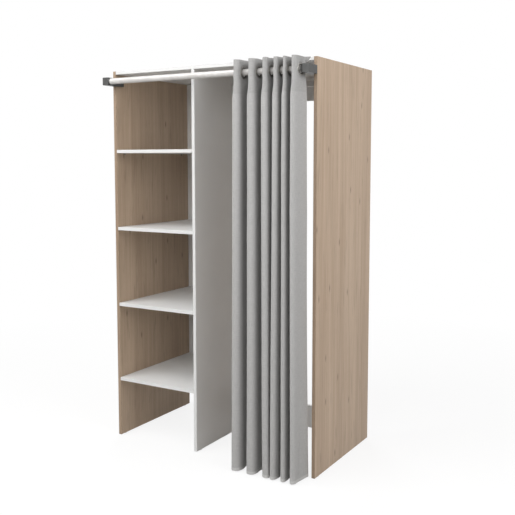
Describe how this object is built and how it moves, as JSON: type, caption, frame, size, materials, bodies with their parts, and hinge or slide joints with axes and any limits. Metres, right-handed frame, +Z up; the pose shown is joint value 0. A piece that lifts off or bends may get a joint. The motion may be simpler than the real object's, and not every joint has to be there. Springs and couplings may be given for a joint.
{
  "type": "curtain wardrobe",
  "caption": "Open wardrobe with a column of shelves and an open-backed hanging space, closed at the front by an eyelet curtain on a rod.",
  "frame": {"origin": "on the floor, at the centre of the bounding box's base", "axes": "+Z up, +X to the right seen from the front, -Y out of the front, where the curtain hangs"},
  "size_m": [1.12, 0.7151, 1.84],
  "materials": {
    "oak_laminate": "oak-look melamine on chipboard, satin",
    "white_laminate": "white melamine on chipboard, satin",
    "white_sheet": "white-faced hardboard sheet",
    "white_lacquer": "white lacquered steel tube, glossy",
    "grey_plastic": "dark grey moulded plastic, matt",
    "dark_metal": "dark gunmetal plating",
    "grey_cloth": "light grey woven cloth",
    "nickel": "nickel plated",
    "steel": "zinc plated",
    "white_plastic": "white moulded plastic"
  },
  "bodies": {
    "cabinet": {"left_side": "oak_laminate", "right_side": "oak_laminate", "partition": "white_laminate", "top_panel": "white_laminate", "shelf_1": "white_laminate", "shelf_2": "white_laminate", "shelf_3": "white_laminate", "bottom_shelf": "white_laminate", "back_panel": "white_sheet", "upper_back_rail": "white_laminate", "lower_back_rail": "white_laminate", "curtain_rod": "white_lacquer", "rod_bracket_left": "grey_plastic", "rod_bracket_right": "grey_plastic", "clothes_rail": "white_lacquer", "rail_socket_left": "white_plastic", "rail_socket_right": "white_plastic", "bracket_screw_left_front": "steel", "bracket_screw_left_back": "steel", "bracket_screw_right_front": "steel", "bracket_screw_right_back": "steel", "shelf_1_pin_left_front": "nickel", "shelf_1_pin_left_back": "nickel", "shelf_1_pin_right_front": "nickel", "shelf_1_pin_right_back": "nickel", "shelf_3_pin_left_front": "nickel", "shelf_3_pin_left_back": "nickel", "shelf_3_pin_right_front": "nickel", "shelf_3_pin_right_back": "nickel", "floor_glide_left_front": "white_plastic", "floor_glide_left_back": "white_plastic", "floor_glide_middle_front": "white_plastic", "floor_glide_middle_back": "white_plastic", "floor_glide_right_front": "white_plastic", "floor_glide_right_back": "white_plastic"},
    "hanging_fold_01": {"eyelet_01": "dark_metal", "curtain_fold_01": "grey_cloth"},
    "hanging_fold_02": {"eyelet_02": "dark_metal", "curtain_fold_02": "grey_cloth"},
    "hanging_fold_03": {"eyelet_03": "dark_metal", "curtain_fold_03": "grey_cloth"},
    "hanging_fold_04": {"eyelet_04": "dark_metal", "curtain_fold_04": "grey_cloth"},
    "hanging_fold_05": {"eyelet_05": "dark_metal", "curtain_fold_05": "grey_cloth"},
    "hanging_fold_06": {"eyelet_06": "dark_metal", "curtain_fold_06": "grey_cloth"},
    "hanging_fold_07": {"eyelet_07": "dark_metal", "curtain_fold_07": "grey_cloth"},
    "hanging_fold_08": {"eyelet_08": "dark_metal", "curtain_fold_08": "grey_cloth"},
    "hanging_fold_09": {"eyelet_09": "dark_metal", "curtain_fold_09": "grey_cloth"},
    "hanging_fold_10": {"eyelet_10": "dark_metal", "curtain_fold_10": "grey_cloth"},
    "hanging_fold_11": {"eyelet_11": "dark_metal", "curtain_fold_11": "grey_cloth"},
    "hanging_fold_12": {"eyelet_12": "dark_metal", "curtain_fold_12": "grey_cloth"}
  },
  "joints": [
    {"name": "eyelet_12_slide", "type": "slide", "parent": "cabinet", "child": "hanging_fold_12", "axis": [-1, 0, 0], "range_m": [0, 0.0201]},
    {"name": "eyelet_11_slide", "type": "slide", "parent": "hanging_fold_12", "child": "hanging_fold_11", "axis": [-1, 0, 0], "range_m": [0, 0.0658]},
    {"name": "eyelet_10_slide", "type": "slide", "parent": "hanging_fold_11", "child": "hanging_fold_10", "axis": [-1, 0, 0], "range_m": [0, 0.0659]},
    {"name": "eyelet_09_slide", "type": "slide", "parent": "hanging_fold_10", "child": "hanging_fold_09", "axis": [-1, 0, 0], "range_m": [0, 0.07062]},
    {"name": "eyelet_08_slide", "type": "slide", "parent": "hanging_fold_09", "child": "hanging_fold_08", "axis": [-1, 0, 0], "range_m": [0, 0.07125]},
    {"name": "eyelet_07_slide", "type": "slide", "parent": "hanging_fold_08", "child": "hanging_fold_07", "axis": [-1, 0, 0], "range_m": [0, 0.06653]},
    {"name": "eyelet_06_slide", "type": "slide", "parent": "hanging_fold_07", "child": "hanging_fold_06", "axis": [-1, 0, 0], "range_m": [0, 0.06716]},
    {"name": "eyelet_05_slide", "type": "slide", "parent": "hanging_fold_06", "child": "hanging_fold_05", "axis": [-1, 0, 0], "range_m": [0, 0.06023]},
    {"name": "eyelet_04_slide", "type": "slide", "parent": "hanging_fold_05", "child": "hanging_fold_04", "axis": [-1, 0, 0], "range_m": [0, 0.0596]},
    {"name": "eyelet_03_slide", "type": "slide", "parent": "hanging_fold_04", "child": "hanging_fold_03", "axis": [-1, 0, 0], "range_m": [0, 0.05267]},
    {"name": "eyelet_02_slide", "type": "slide", "parent": "hanging_fold_03", "child": "hanging_fold_02", "axis": [-1, 0, 0], "range_m": [0, 0.0533]},
    {"name": "eyelet_01_slide", "type": "slide", "parent": "hanging_fold_02", "child": "hanging_fold_01", "axis": [-1, 0, 0], "range_m": [0, 0.05393]}
  ],
  "couplings": [
    {"joint": "eyelet_12_slide", "follows": "eyelet_11_slide", "ratio": 0.304},
    {"joint": "eyelet_10_slide", "follows": "eyelet_11_slide", "ratio": 1},
    {"joint": "eyelet_09_slide", "follows": "eyelet_11_slide", "ratio": 1.0718},
    {"joint": "eyelet_08_slide", "follows": "eyelet_11_slide", "ratio": 1.0814},
    {"joint": "eyelet_07_slide", "follows": "eyelet_11_slide", "ratio": 1.0096},
    {"joint": "eyelet_06_slide", "follows": "eyelet_11_slide", "ratio": 1.0191},
    {"joint": "eyelet_05_slide", "follows": "eyelet_11_slide", "ratio": 0.9138},
    {"joint": "eyelet_04_slide", "follows": "eyelet_11_slide", "ratio": 0.9043},
    {"joint": "eyelet_03_slide", "follows": "eyelet_11_slide", "ratio": 0.7989},
    {"joint": "eyelet_02_slide", "follows": "eyelet_11_slide", "ratio": 0.8085},
    {"joint": "eyelet_01_slide", "follows": "eyelet_11_slide", "ratio": 0.8181}
  ]
}
